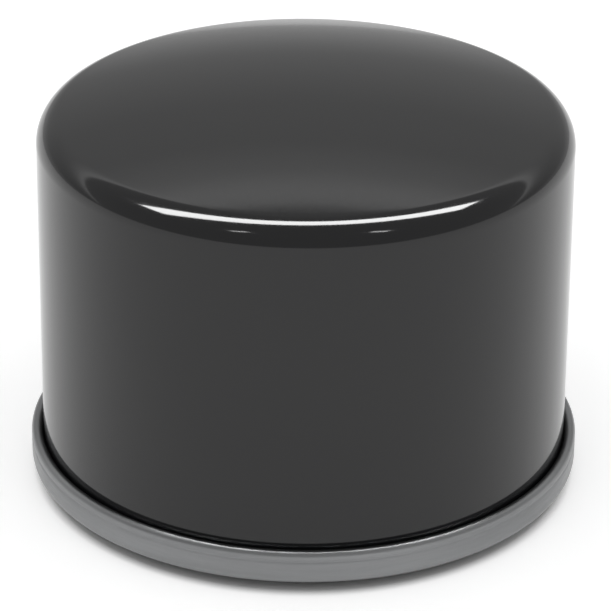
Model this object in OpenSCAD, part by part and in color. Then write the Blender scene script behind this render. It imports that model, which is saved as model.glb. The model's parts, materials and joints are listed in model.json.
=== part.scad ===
// Spin-on oil filter for a small engine.
// A drawn steel can is double-seamed to a lid that is welded to a threaded base plate.
// Inside, a pleated paper element sits on a rubber anti-drainback valve, and a leaf
// spring in the dome holds it down. A spring-loaded bypass valve closes its top.
// Origin: centre of the gasket's sealing face. +Z runs from the gasket to the dome.
// All sizes are in millimetres and degrees.

/* [Overall] */
// Outer diameter of the rolled seam, the widest part
seam_d = 76.2; // [66:0.1:110]
// Height from the gasket's sealing face to the top of the dome
height = 57.2; // [50:0.1:120]

/* [Can] */
// Sheet thickness of the can
can_t = 0.45; // [0.3:0.05:0.8]
// Outside radius of the shoulder between wall and dome
shoulder_r = 4.0; // [2:0.1:8]
// Slope of the dome where it meets the shoulder
dome_slope = 14; // [6:0.5:20]

/* [Lid and seam] */
// Sheet thickness of the seaming lid
lid_t = 0.55; // [0.4:0.05:0.9]
// Height of the rolled seam
seam_h = 4.9; // [3.8:0.1:7]
// How far the gasket stands out below the seam
gasket_proud = 1.6; // [0.8:0.1:3]
// Working gap between the folded layers of the seam
layer_gap = 0.03; // [0.02:0.01:0.08]
// Depth of the lid's inner lip that keeps the gasket in its groove
lip_depth = 3.0; // [1.5:0.1:4.5]

/* [Gasket] */
// Height of the gasket
gasket_h = 5.7; // [4.5:0.1:8]
// Radial width of the gasket
gasket_w = 3.85; // [3:0.05:5]
// Gap between the gasket and the groove's outer wall
gasket_gap = 0.48; // [0.1:0.01:1]
// Gap between the gasket and the lid's inner lip
lip_gap = 0.15; // [0.05:0.01:0.4]

/* [Base plate] */
// Thickness of the base plate
plate_t = 3.0; // [2:0.1:5]
// Gap between the base plate's rim and the can
plate_gap = 1.0; // [0.4:0.1:3]
// Major diameter of the internal thread
thread_d = 19.05; // [16:0.01:24]
// Pitch of the thread
thread_pitch = 1.5875; // [1.25:0.0001:2]
// Grooves cut in the threaded collar
thread_grooves = 5; // [4:1:7]
// Wall of the collar outside the thread's major diameter
hub_wall = 2.4; // [1.6:0.1:4]
// Number of inlet ports
port_count = 8; // [4:1:10]
// Diameter of an inlet port
port_d = 6.6; // [5:0.1:8]
// Number of projection welds between lid and plate
weld_count = 6; // [3:1:12]
// Diameter of a weld
weld_d = 3.0; // [2:0.1:3.6]

/* [Anti-drainback valve] */
// Wall of the rubber sleeve round the collar
sleeve_t = 1.5; // [1:0.1:2.5]
// Height of the valve's seat for the element above the plate
valve_h = 4.6; // [3.8:0.1:7]
// Width of the foot that carries the element
foot_w = 3.4; // [2.4:0.1:4]
// Thickness of the flexing skirt
skirt_t = 1.0; // [0.7:0.05:1.5]
// How far the skirt reaches past the ports
skirt_cover = 2.4; // [1.5:0.1:3]

/* [Element] */
// Sheet thickness of end caps and centre tube
cap_t = 0.45; // [0.3:0.05:0.7]
// Width of the oil passage between the element and the can
oil_gap = 3.9; // [2.5:0.1:6]
// Height of an end cap's rim
rim_h = 3.0; // [2:0.1:5]
// Height of the neck that locates the centre tube
neck_h = 3.0; // [2:0.1:5]
// Thickness of the adhesive in each end cap
potting_t = 1.2; // [0.8:0.1:2]
// Thickness of the filter paper
paper_t = 0.6; // [0.4:0.05:0.7]
// Number of pleats
pleat_count = 48; // [30:1:52]
// Width of a fold, measured on the paper's middle
fold_w = 0.9; // [0.7:0.05:1]
// Diameter of a perforation in the centre tube
perforation_d = 3.0; // [2:0.1:4]
// Distance between rows of perforations
perforation_pitch = 4.6; // [4:0.1:7]
// Sheet thickness of the clip that joins the paper's ends
clip_t = 0.35; // [0.2:0.05:0.5]

/* [Bypass valve] */
// Radius of the bypass port in the upper end cap
bypass_port_r = 7.4; // [5:0.1:8]
// Sheet thickness of the spring cage
cage_t = 0.5; // [0.4:0.05:0.8]
// Depth of the cage below the upper end cap
cage_depth = 14; // [12:0.5:17]
// Thickness of the rubber seal
seal_t = 1.2; // [0.8:0.1:2]
// Thickness of the valve plate
valve_plate_t = 0.8; // [0.5:0.1:1.5]
// Radius of the guide stem
stem_r = 1.6; // [1.2:0.1:2.2]
// Wire diameter of the bypass spring
wire_d = 1.1; // [0.8:0.1:1.3]
// Turns of the bypass spring
spring_turns = 5.5; // [4:0.5:6]

/* [Element spring] */
// Sheet thickness of the leaf spring
leaf_t = 0.6; // [0.4:0.05:0.9]
// Space between the upper end cap and the dome, on the axis
spring_space = 11.4; // [9:0.1:16]
// Number of arms
arm_count = 4; // [3:1:5]
// Width of an arm
arm_w = 7.0; // [5:0.5:9]
// Run of an arm from its ring to where it touches the dome
arm_reach = 11.2; // [9:0.1:13]

/* [Hidden] */
$fn = 96;

black = [0.05, 0.05, 0.055];
zinc = [0.62, 0.63, 0.64];
steel = [0.50, 0.51, 0.53];
rubber = [0.10, 0.10, 0.10];
adhesive = [0.55, 0.20, 0.16];
paper = [0.86, 0.76, 0.52];

eps = 0.05;             // overshoot of a cut past the face it opens
fit = 0.05;             // clearance of pieces that slide together in assembly
running_fit = 0.08;     // radial clearance of the bypass stem in its guide
bend_steps = 6;         // facets of a sheet bend
curve_steps = 14;       // facets of the shoulder and of the dome

// Seam: lid wall, can hook, lid hook, can wall and chuck wall lie in each other, outside to inside.
seam_r = seam_d / 2;
seam_bottom = gasket_proud;
seam_top = seam_bottom + seam_h;
lid_wall_c = seam_r - lid_t / 2;
can_hook_c = seam_r - lid_t - layer_gap - can_t / 2;
lid_hook_c = can_hook_c - can_t / 2 - layer_gap - lid_t / 2;
can_wall_c = lid_hook_c - lid_t / 2 - layer_gap - can_t / 2;
chuck_c = can_wall_c - can_t / 2 - layer_gap - lid_t / 2;
can_r = can_wall_c + can_t / 2;
can_in_r = can_wall_c - can_t / 2;
lid_bend = (lid_wall_c - chuck_c) / 2;
can_bend = (can_hook_c - can_wall_c) / 2;
top_bend = (lid_wall_c - lid_hook_c) / 2;
fold_z = seam_bottom + lid_t / 2 + lid_bend;
top_fold_z = seam_top - lid_t / 2 - top_bend;
hook_tip_z = top_fold_z - 0.4;

// Dome: a sphere tangent to the shoulder.
dome_r = (can_r - shoulder_r) / sin(dome_slope) + shoulder_r;
dome_cz = height - dome_r;
shoulder_cr = can_r - shoulder_r;
shoulder_cz = dome_cz + (dome_r - shoulder_r) * cos(dome_slope);

// Gasket and its groove in the lid.
gasket_out_r = chuck_c - lid_t / 2 - gasket_gap;
gasket_in_r = gasket_out_r - gasket_w;
lip_c = gasket_in_r - lip_gap - lid_t / 2;
groove_c = gasket_h + lid_t / 2;
groove_bend = lid_t / 2 + 0.25;

// Base plate, its threaded collar and ports.
plate_z = gasket_h + lid_t;
plate_top = plate_z + plate_t;
plate_r = can_in_r - plate_gap;
thread_major_r = thread_d / 2;
thread_depth = 0.541266 * thread_pitch;
thread_minor_r = thread_major_r - thread_depth;
hub_r = thread_major_r + hub_wall;
mouth_h = thread_depth + 0.5;
thread_z = plate_z + mouth_h;
thread_len = (thread_grooves + 0.25) * thread_pitch;
hub_top = thread_z + thread_len + 0.5;
port_ring_r = (hub_r + lip_c) / 2;
weld_ring_r = gasket_out_r - gasket_w / 2;
weld_depth = 0.6;

// Anti-drainback valve.
sleeve_in_r = hub_r + fit;
sleeve_out_r = sleeve_in_r + sleeve_t;
foot_r = sleeve_in_r + foot_w;
valve_top = plate_top + valve_h;
skirt_r = port_ring_r + port_d / 2 + skirt_cover;
sleeve_top = hub_top - 0.3;

// Element, from the neck that clears the sleeve out to the end caps' rims.
cap_bend = 0.8;
neck_c = sleeve_out_r + 2 * fit + cap_t / 2;
tube_in_r = neck_c + cap_bend / 2 + fit;
tube_out_r = tube_in_r + cap_t;
lock_seam_t = 0.6;
lock_seam_w = 4;
cap_r = can_in_r - oil_gap;
cap_in_r = cap_r - cap_t;
media_in_r = tube_out_r + lock_seam_t + 4 * fit;
media_out_r = cap_in_r - clip_t - 4 * fit;
lower_z = valve_top;
floor_z = lower_z + cap_t;
upper_top = height - can_t - spring_space;
upper_z = upper_top - cap_t;
media_z = floor_z + potting_t;
media_h = upper_z - potting_t - media_z;
tube_h = upper_z - floor_z;

// Bypass valve, hung below the upper end cap inside the tube.
seat_r = bypass_port_r + 1.2;
seat_h = 0.4;
flange_r = tube_in_r - 4 * fit;
cage_r = flange_r - 2;
cage_in_r = cage_r - cage_t;
cage_floor = upper_z - cage_depth;
seal_top = upper_z - seat_h;
seal_z = seal_top - seal_t;
valve_plate_z = seal_z - valve_plate_t;
valve_plate_r = cage_in_r - 0.8;
seal_r = valve_plate_r - 0.4;
washer_r = 4.5;
washer_t = 0.5;
head_r = 3.0;
head_t = 0.9;
stem_tip = cage_floor - 1.5;
spring_floor = cage_floor + cage_t;
coil_r = (stem_r + valve_plate_r) / 2 + 1.5;

// Leaf spring between the upper end cap and the dome.
leaf_c = upper_top + leaf_t / 2;
ring_in_r = bypass_port_r + 4;
ring_out_r = ring_in_r + 4;
arm_start = ring_in_r + 2;
touch_r = arm_start + arm_reach;
foot_bend = 3;
crest_bend = 4;
crest_cr = dome_r - can_t - fit - crest_bend - leaf_t / 2;
crest_cz = dome_cz + sqrt(pow(crest_cr, 2) - pow(touch_r, 2) - pow(arm_w / 2, 2));

// Points on an arc about c, from angle a0 to a1.
function arc(c, r, a0, a1, n = bend_steps) =
    [for (i = [0 : n]) let (a = a0 + (a1 - a0) * i / n) [c[0] + r * cos(a), c[1] + r * sin(a)]];

function unit(v) = v / norm(v);

// Left normal of a path at point i, lengthened so that a sheet keeps its thickness in a bend.
// A path that starts on the axis is mirrored there, so that the sheet closes over it.
function mitre(p, i) =
    let (n = len(p))
    let (j = min(i, n - 2))
    let (b = unit(p[j + 1] - p[j]))
    let (a = i > 0 ? unit(p[i] - p[i - 1]) : p[0][0] == 0 ? [b[0], -b[1]] : b)
    let (m = unit([-a[1] - b[1], a[0] + b[0]]))
    m / (m * [-a[1], a[0]]);

// The same for a closed loop.
function loop_mitre(p, i) =
    let (n = len(p))
    let (a = unit(p[i] - p[(i + n - 1) % n]))
    let (b = unit(p[(i + 1) % n] - p[i]))
    let (m = unit([-a[1] - b[1], a[0] + b[0]]))
    m / (m * [-a[1], a[0]]);

// Outline of a sheet of thickness t whose middle runs along the open path p.
function sheet(p, t) = concat(
    [for (i = [0 : len(p) - 1]) p[i] + mitre(p, i) * t / 2],
    [for (i = [len(p) - 1 : -1 : 0]) p[i] - mitre(p, i) * t / 2]);

// A stamped or drawn round part: its sheet's middle is the path p, given as [radius, height].
module spun(p, t) {
    rotate_extrude() polygon(sheet(p, t));
}

// A flat ring from radius r0 to r1, from height z0 to z1.
module washer(r0, r1, z0, z1) {
    difference() {
        translate([0, 0, z0]) cylinder(r = r1, h = z1 - z0);
        translate([0, 0, z0 - eps]) cylinder(r = r0, h = z1 - z0 + 2 * eps);
    }
}

// Copies its children n times round the axis.
module around(n, start = 0) {
    for (i = [0 : n - 1]) rotate([0, 0, start + i * 360 / n]) children();
}

// Drawn steel can: dome, shoulder, wall and the hook folded into the seam.
module can() {
    path = concat(
        arc([0, dome_cz], dome_r - can_t / 2, 90, 90 - dome_slope, curve_steps),
        [for (i = [1 : curve_steps])
            let (a = (90 - dome_slope) * (1 - i / curve_steps))
            [shoulder_cr, shoulder_cz] + (shoulder_r - can_t / 2) * [cos(a), sin(a)]],
        arc([can_wall_c + can_bend, fold_z], can_bend, 180, 360),
        [[can_hook_c, hook_tip_z]]);
    color(black) spun(path, can_t);
}

// Zinc-plated lid: gasket lip, groove, chuck wall and the seam rolled round the can's hook.
module seaming_lid() {
    path = concat(
        [[lip_c, gasket_h - lip_depth]],
        arc([lip_c + groove_bend, groove_c - groove_bend], groove_bend, 180, 90),
        arc([chuck_c - groove_bend, groove_c - groove_bend], groove_bend, 90, 0),
        arc([chuck_c + lid_bend, fold_z], lid_bend, 180, 360, 2 * bend_steps),
        arc([lid_wall_c - top_bend, top_fold_z], top_bend, 0, 180, 2 * bend_steps),
        [[lid_hook_c, fold_z + 0.15]]);
    color(zinc) difference() {
        spun(path, lid_t);
        weld_sites();
    }
}

// Bead of sealing compound on the tip of the can's hook.
module seam_compound() {
    bead_r = can_t / 2;
    color([0.25, 0.3, 0.25]) rotate_extrude() translate([can_hook_c, hook_tip_z])
        polygon(concat([[-bead_r, 0]], [[bead_r, 0]], arc([0, 0.3], bead_r, 0, 180)));
}

// Base plate with a collar extruded inwards, threaded with full-form grooves.
module base_plate() {
    crest = thread_pitch / 8;
    root = thread_pitch / 16;
    root_bend = 1;
    thread = [for (i = [thread_grooves : -1 : 1])
        let (z = thread_z + i * thread_pitch - thread_pitch / 2 + crest)
        each [[thread_minor_r, z + thread_pitch / 2 - crest], [thread_major_r, z + root],
              [thread_major_r, z - root], [thread_minor_r, z - thread_pitch / 2 + crest]]];
    outline = concat(
        [[thread_major_r + 0.5, plate_z], [plate_r - 0.3, plate_z], [plate_r, plate_z + 0.3],
         [plate_r, plate_top - 0.3], [plate_r - 0.3, plate_top]],
        [[hub_r, plate_top], [hub_r, hub_top - 0.4], [hub_r - 0.4, hub_top],
         [thread_minor_r + 0.5, hub_top], [thread_minor_r, thread_z + thread_len]],
        thread,
        [[thread_minor_r, thread_z]]);
    color(steel) difference() {
        rotate_extrude() polygon(outline);
        around(port_count) translate([port_ring_r, 0, plate_z]) {
            translate([0, 0, -eps]) cylinder(d = port_d, h = plate_t + 2 * eps);
            translate([0, 0, -eps]) cylinder(d1 = port_d + 0.8, d2 = port_d - 0.2, h = 0.45 + eps);
        }
        weld_sites();
    }
}

// Where each weld joins lid and plate.
module weld_sites() {
    around(weld_count, 180 / weld_count)
        translate([weld_ring_r, 0, gasket_h - eps]) cylinder(d = weld_d, h = lid_t + weld_depth + eps);
}

// Weld nuggets between the lid and the base plate.
module projection_welds() {
    color([0.4, 0.4, 0.42]) around(weld_count, 180 / weld_count)
        translate([weld_ring_r, 0, gasket_h]) cylinder(d = weld_d, h = lid_t + weld_depth);
}

// Ring gasket that seals against the engine.
module gasket() {
    c = 0.35;
    color(rubber) rotate_extrude() polygon([
        [gasket_in_r + c, 0], [gasket_out_r - c, 0], [gasket_out_r, c], [gasket_out_r, gasket_h - c],
        [gasket_out_r - c, gasket_h], [gasket_in_r + c, gasket_h], [gasket_in_r, gasket_h - c],
        [gasket_in_r, c]]);
}

// Rubber anti-drainback valve: a foot and sleeve on the collar, and a skirt that covers the ports.
module drainback_valve() {
    root_r = foot_r + 0.9;
    color([0.16, 0.13, 0.12]) rotate_extrude() polygon([
        [sleeve_in_r, plate_top], [foot_r, plate_top], [foot_r, valve_top - skirt_t - 0.9],
        [root_r, valve_top - skirt_t - 0.3], [skirt_r - 1.1, plate_top + 0.25],
        [skirt_r - 0.9, plate_top], [skirt_r - 0.2, plate_top], [skirt_r, plate_top + 0.2],
        [skirt_r - 0.1, plate_top + 0.25 + skirt_t * 0.8], [root_r + 0.5, valve_top - 0.2],
        [root_r - 0.3, valve_top], [sleeve_out_r, valve_top], [sleeve_out_r, sleeve_top - 0.3],
        [sleeve_out_r - 0.3, sleeve_top], [sleeve_in_r, sleeve_top]]);
}

// Lower end cap: neck, floor and rim.
module lower_end_cap() {
    path = concat(
        [[neck_c, floor_z + neck_h]],
        arc([neck_c + cap_bend / 2, lower_z + cap_t / 2 + cap_bend / 2], cap_bend / 2, 180, 270),
        arc([cap_r - cap_t / 2 - cap_bend, lower_z + cap_t / 2 + cap_bend], cap_bend, 270, 360),
        [[cap_r - cap_t / 2, lower_z + rim_h]]);
    color(steel) spun(path, cap_t);
}

// Upper end cap: bypass port with its seat bead, floor and rim.
module upper_end_cap() {
    path = concat(
        [[bypass_port_r, upper_top - cap_t / 2]],
        arc([cap_r - cap_t / 2 - cap_bend, upper_top - cap_t / 2 - cap_bend], cap_bend, 90, 0),
        [[cap_r - cap_t / 2, upper_top - rim_h]]);
    color(steel) union() {
        spun(path, cap_t);
        rotate_extrude() polygon(concat(
            [[seat_r + seat_h, upper_z + cap_t / 2]], [[seat_r - seat_h, upper_z + cap_t / 2]],
            arc([seat_r, upper_z], seat_h, 180, 360)));
    }
}

// Adhesive that bonds the paper to an end cap.
module potting(z) {
    color(adhesive) washer(tube_out_r + fit, cap_r - cap_t / 2 - cap_bend, z, z + potting_t);
}

module lower_potting() { potting(floor_z); }

module upper_potting() { potting(upper_z - potting_t); }

// Perforated centre tube with its lock seam.
module centre_tube() {
    rows = floor((tube_h - 2 * perforation_pitch) / perforation_pitch);
    columns = 10;
    first = (tube_h - (rows - 1) * perforation_pitch) / 2;
    half_seam = asin((lock_seam_w / 2 + perforation_d) / tube_out_r);
    color(steel) union() {
        difference() {
            washer(tube_in_r, tube_out_r, floor_z, floor_z + tube_h);
            for (row = [0 : rows - 1], col = [0 : columns - 1]) {
                turn = (col + (row % 2) / 2) * 360 / columns;
                if (turn > half_seam && turn < 360 - half_seam)
                    rotate([0, 0, turn])
                        translate([tube_in_r - 1, 0, floor_z + first + row * perforation_pitch])
                            rotate([0, 90, 0]) cylinder(d = perforation_d, h = cap_t + 2);
            }
        }
        intersection() {
            washer(tube_out_r - cap_t / 2, tube_out_r + lock_seam_t, media_z + 0.5, media_z + media_h - 0.5);
            translate([0, -lock_seam_w / 2, media_z]) cube([tube_out_r + 2, lock_seam_w, media_h]);
        }
    }
}

// Middle line of the pleated paper, four points a pleat.
function pleats(r_in, r_out) = [for (i = [0 : pleat_count - 1])
    let (a = i * 360 / pleat_count, b = a + 180 / pleat_count)
    let (wo = asin(fold_w / 2 / r_out), wi = asin(fold_w * 0.4 / r_in))
    each [[r_out * cos(a - wo), r_out * sin(a - wo)], [r_out * cos(a + wo), r_out * sin(a + wo)],
          [r_in * cos(b - wi), r_in * sin(b - wi)], [r_in * cos(b + wi), r_in * sin(b + wi)]]];

// Pleated filter paper, one closed band.
module pleated_media() {
    middle = pleats(media_in_r + paper_t / 2, media_out_r - paper_t / 2);
    n = len(middle);
    color(paper) translate([0, 0, media_z]) linear_extrude(height = media_h)
        polygon(
            points = concat(
                [for (i = [0 : n - 1]) middle[i] - loop_mitre(middle, i) * paper_t / 2],
                [for (i = [0 : n - 1]) middle[i] + loop_mitre(middle, i) * paper_t / 2]),
            paths = [[for (i = [0 : n - 1]) i], [for (i = [0 : n - 1]) n + i]]);
}

// Steel clip crimped over the pleat where the paper's ends meet.
module media_clip() {
    half = fold_w / 2 + paper_t / 2 + 2 * fit;
    depth = 3;
    tip = media_out_r + fit;
    color(steel) translate([0, 0, media_z]) difference() {
        translate([tip - depth, -half - clip_t, 0]) cube([depth + clip_t, 2 * (half + clip_t), media_h]);
        translate([tip - depth - eps, -half, -eps]) cube([depth + eps, 2 * half, media_h + 2 * eps]);
    }
}

// Spring cage of the bypass valve: flange, windowed wall and floor with the stem's guide.
module bypass_cage() {
    bend = 0.7;
    window_w = 9;
    guide_r = stem_r + running_fit;
    path = concat(
        [[flange_r, upper_z - cage_t / 2]],
        arc([cage_r - cage_t / 2 + bend, upper_z - cage_t / 2 - bend], bend, 90, 180),
        arc([cage_r - cage_t / 2 - bend, cage_floor + cage_t / 2 + bend], bend, 0, -90),
        [[guide_r, cage_floor + cage_t / 2]]);
    color(zinc) difference() {
        spun(path, cage_t);
        around(3) translate([0, -window_w / 2, cage_floor + 2.2])
            cube([cage_r + 1, window_w, cage_depth - 5.2]);
        around(3, 60) translate([(stem_r + coil_r) / 2, 0, cage_floor - eps])
            cylinder(d = 2.4, h = cage_t + 2 * eps);
    }
}

// Height of the bypass spring's wire after a share u of its turns: closed ends, open middle.
function coil_z(u, free) =
    let (closed = 1 / spring_turns, s = (u - closed) / (1 - 2 * closed))
    u < closed ? wire_d * u / closed * 0.9
    : u > 1 - closed ? free - wire_d * (1 - u) / closed * 0.9
    : wire_d * 0.9 + (free - 1.8 * wire_d) * s;

// Coil spring that holds the bypass valve shut, a tube swept along a helix.
module bypass_spring() {
    sides = 8;
    steps = round(spring_turns * 16);
    free = valve_plate_z - spring_floor - wire_d - 2 * fit;
    points = [for (i = [0 : steps], k = [0 : sides - 1])
        let (turn = 360 * spring_turns * i / steps, a = 360 * k / sides)
        let (r = coil_r + wire_d / 2 * cos(a))
        [r * cos(turn), r * sin(turn), coil_z(i / steps, free) + wire_d / 2 * sin(a)]];
    skin = [for (i = [0 : steps - 1], k = [0 : sides - 1])
        let (p = i * sides + k, q = i * sides + (k + 1) % sides)
        each [[p, p + sides, q], [q, p + sides, q + sides]]];
    caps = [[for (k = [0 : sides - 1]) k], [for (k = [sides - 1 : -1 : 0]) steps * sides + k]];
    color(steel) translate([0, 0, spring_floor + wire_d / 2 + fit])
        polyhedron(points = points, faces = concat(caps, skin));
}

// Steel plate that the bypass spring pushes on.
module bypass_plate() {
    color(steel) washer(stem_r, valve_plate_r, valve_plate_z, seal_z);
}

// Rubber seal that closes on the seat bead.
module bypass_seal() {
    color(rubber) washer(stem_r, seal_r, seal_z, seal_top);
}

// Washer under the head of the stem.
module bypass_washer() {
    color(zinc) washer(stem_r, washer_r, seal_top, seal_top + washer_t);
}

// Headed stem that holds the valve together and guides it.
module bypass_stem() {
    point = 0.4;
    color(zinc) rotate_extrude() polygon([
        [0, stem_tip], [stem_r - point, stem_tip], [stem_r, stem_tip + point],
        [stem_r, seal_top + washer_t], [head_r, seal_top + washer_t],
        [head_r, seal_top + washer_t + head_t / 2], [head_r * 0.6, seal_top + washer_t + head_t],
        [0, seal_top + washer_t + head_t]]);
}

// Leaf spring: a ring on the end cap and arms that press on the dome.
module element_spring() {
    low = [arm_start, leaf_c + foot_bend];
    high = [touch_r, crest_cz];
    reach = norm(high - low);
    rise = atan2(high[1] - low[1], high[0] - low[0]) + asin((foot_bend + crest_bend) / reach);
    path = concat(
        [[ring_in_r + 0.5, leaf_c]],
        arc(low, foot_bend, -90, -90 + rise),
        arc(high, crest_bend, 90 + rise, 60, 2 * bend_steps));
    color([0.35, 0.38, 0.45]) union() {
        washer(ring_in_r, ring_out_r, upper_top, upper_top + leaf_t);
        around(arm_count, 180 / arm_count) rotate([90, 0, 0])
            linear_extrude(height = arm_w, center = true) polygon(sheet(path, leaf_t));
    }
}

can();
seaming_lid();
seam_compound();
base_plate();
projection_welds();
gasket();
drainback_valve();
lower_end_cap();
lower_potting();
centre_tube();
pleated_media();
media_clip();
upper_potting();
upper_end_cap();
bypass_cage();
bypass_spring();
bypass_plate();
bypass_seal();
bypass_washer();
bypass_stem();
element_spring();
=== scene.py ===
"""Finished look of a short spin-on oil filter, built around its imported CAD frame.

The filter stands on its gasket with the dome up. Lengths are in metres, and +Z is the filter's axis.
Every visible piece is a mesh turned, swept or folded here from its own sizes, or the CAD solid itself
in a better finish. Places come from the frame's boxes.
"""

import json
import logging
import math
from dataclasses import dataclass
from enum import Enum
from typing import Callable, Iterable, Sequence

import bmesh
import bpy
from mathutils import Matrix, Vector

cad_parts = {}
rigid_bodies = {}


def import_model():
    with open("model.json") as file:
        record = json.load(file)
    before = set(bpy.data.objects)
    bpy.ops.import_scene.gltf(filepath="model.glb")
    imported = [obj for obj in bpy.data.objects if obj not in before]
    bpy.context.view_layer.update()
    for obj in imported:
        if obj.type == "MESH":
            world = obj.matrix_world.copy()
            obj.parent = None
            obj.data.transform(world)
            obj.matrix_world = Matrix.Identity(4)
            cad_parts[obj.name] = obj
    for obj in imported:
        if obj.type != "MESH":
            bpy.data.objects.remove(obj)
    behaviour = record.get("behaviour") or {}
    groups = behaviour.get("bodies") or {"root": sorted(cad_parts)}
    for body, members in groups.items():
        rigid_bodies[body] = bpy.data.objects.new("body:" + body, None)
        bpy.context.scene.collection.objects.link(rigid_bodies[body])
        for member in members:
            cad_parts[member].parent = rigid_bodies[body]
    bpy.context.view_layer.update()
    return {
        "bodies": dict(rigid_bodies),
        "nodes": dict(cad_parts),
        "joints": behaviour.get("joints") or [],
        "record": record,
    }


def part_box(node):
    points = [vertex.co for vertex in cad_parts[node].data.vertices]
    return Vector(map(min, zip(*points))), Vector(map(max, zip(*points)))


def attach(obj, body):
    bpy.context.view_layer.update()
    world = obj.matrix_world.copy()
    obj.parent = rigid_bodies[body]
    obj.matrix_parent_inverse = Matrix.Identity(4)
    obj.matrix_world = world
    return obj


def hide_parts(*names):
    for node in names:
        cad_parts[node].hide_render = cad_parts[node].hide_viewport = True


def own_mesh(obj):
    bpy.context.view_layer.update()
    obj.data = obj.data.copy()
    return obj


log = logging.getLogger("oil_filter")

MM = 0.001
TURN = 2 * math.pi
# Points closer than this are the same point.
TINY = 1e-7
# Edges bent by more degrees than this stay sharp, unless a piece says otherwise.
SHARP = 32.0

Point = tuple[float, float]
Warp = Callable[[float, float, float], Point]


# ---------------------------------------------------------------- outlines


def arc(centre: Point, radius: float, start: float, end: float, steps: int = 10) -> list[Point]:
    """Points along an arc.

    Args:
        centre: Middle of the arc, as (radius, height).
        radius: Radius of the arc.
        start: First angle in degrees, 0 pointing outwards and 90 up.
        end: Last angle in degrees.
        steps: Number of chords.

    Returns:
        The points, both ends included.
    """
    angles = (math.radians(start + (end - start) * i / steps) for i in range(steps + 1))
    return [(centre[0] + radius * math.cos(a), centre[1] + radius * math.sin(a)) for a in angles]


def rounded(corners: Sequence[tuple[float, float, float]], steps: int = 6) -> list[Point]:
    """Closed outline whose corners are rounded.

    Args:
        corners: Corners as (radius, height, fillet), in order round the outline.
        steps: Number of chords in a fillet.

    Returns:
        The outline's points. A corner with no fillet stays sharp.
    """
    outline: list[Point] = []
    count = len(corners)
    for i, (x, y, fillet) in enumerate(corners):
        here = Vector((x, y))
        if fillet <= 0:
            outline.append((x, y))
            continue
        to_last = (Vector(corners[i - 1][:2]) - here).normalized()
        to_next = (Vector(corners[(i + 1) % count][:2]) - here).normalized()
        half = to_last.angle(to_next) / 2
        reach = fillet / math.tan(half)
        middle = here + (to_last + to_next).normalized() * (fillet / math.sin(half))
        first = here + to_last * reach - middle
        sweep = first.angle_signed(here + to_next * reach - middle)
        for k in range(steps + 1):
            turned = first.copy()
            turned.rotate(Matrix.Rotation(-sweep * k / steps, 2))
            outline.append(tuple(middle + turned))
    return outline


def sheet(path: Sequence[Point], thickness: float) -> list[Point]:
    """Closed outline of a bent sheet.

    Args:
        path: Middle line of the sheet, from end to end. One that starts on the axis closes over it.
        thickness: Thickness of the sheet.

    Returns:
        The outline: along one face and back along the other.
    """
    points = [Vector(p) for p in path]
    sides: list[Vector] = []
    for i, here in enumerate(points):
        ahead = (points[min(i + 1, len(points) - 1)] - points[min(i, len(points) - 2)]).normalized()
        if i > 0:
            behind = (here - points[i - 1]).normalized()
        elif abs(here.x) < TINY:
            behind = Vector((ahead.x, -ahead.y))
        else:
            behind = ahead
        normal = Vector((-behind.y, behind.x))
        mitre = (normal + Vector((-ahead.y, ahead.x))).normalized()
        sides.append(mitre / mitre.dot(normal))
    half = thickness / 2
    left = [tuple(p + s * half) for p, s in zip(points, sides)]
    right = [tuple(p - s * half) for p, s in zip(points, sides)]
    return left + right[::-1]


# ---------------------------------------------------------------- meshes


def shade(data: bpy.types.Mesh, sharp: float) -> None:
    """Smooths a mesh's shading, except over edges bent by more than so many degrees."""
    data.shade_smooth()
    data.set_sharp_from_angle(angle=math.radians(sharp))


def finish_mesh(name: str, mesh: bmesh.types.BMesh, sharp: float = SHARP) -> bpy.types.Object:
    """Turns a built mesh into a smooth-shaded object of the scene.

    Args:
        name: Name of the object.
        mesh: The mesh, which is freed.
        sharp: Edges bent by more degrees than this stay sharp.

    Returns:
        The new object, at the origin.
    """
    bmesh.ops.remove_doubles(mesh, verts=mesh.verts, dist=TINY)
    bmesh.ops.dissolve_degenerate(mesh, edges=mesh.edges, dist=TINY / 10)
    bmesh.ops.recalc_face_normals(mesh, faces=mesh.faces)
    data = bpy.data.meshes.new(name)
    mesh.to_mesh(data)
    mesh.free()
    shade(data, sharp)
    piece = bpy.data.objects.new(name, data)
    bpy.context.scene.collection.objects.link(piece)
    return piece


def lathe(
    name: str,
    outline: Sequence[Point],
    segments: int = 192,
    warp: Warp | None = None,
    sharp: float = SHARP,
) -> bpy.types.Object:
    """Spins a closed outline round the axis.

    Args:
        name: Name of the object.
        outline: Closed outline as (radius, height).
        segments: Number of steps round the axis.
        warp: Moves a point, from its radius, height and angle to a new radius and height.
        sharp: Edges bent by more degrees than this stay sharp.

    Returns:
        The turned piece.
    """
    mesh = bmesh.new()
    rings: list[list[bmesh.types.BMVert]] = []
    for radius, height in outline:
        if radius < TINY:
            rings.append([mesh.verts.new((0, 0, height))] * segments)
            continue
        ring = []
        for step in range(segments):
            angle = TURN * step / segments
            r, z = warp(radius, height, angle) if warp else (radius, height)
            ring.append(mesh.verts.new((r * math.cos(angle), r * math.sin(angle), z)))
        rings.append(ring)
    for ring, other in zip(rings, rings[1:] + rings[:1]):
        for step in range(segments):
            after = (step + 1) % segments
            quad = [ring[step], ring[after], other[after], other[step]]
            face = list(dict.fromkeys(quad))
            if len(face) > 2:
                mesh.faces.new(face)
    return finish_mesh(name, mesh, sharp)


class Ends(Enum):
    """How a row of rings ends."""

    CAPPED = "filled in"
    JOINED = "last ring joined to the first"
    MEETING = "last ring lies on the first"


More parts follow.
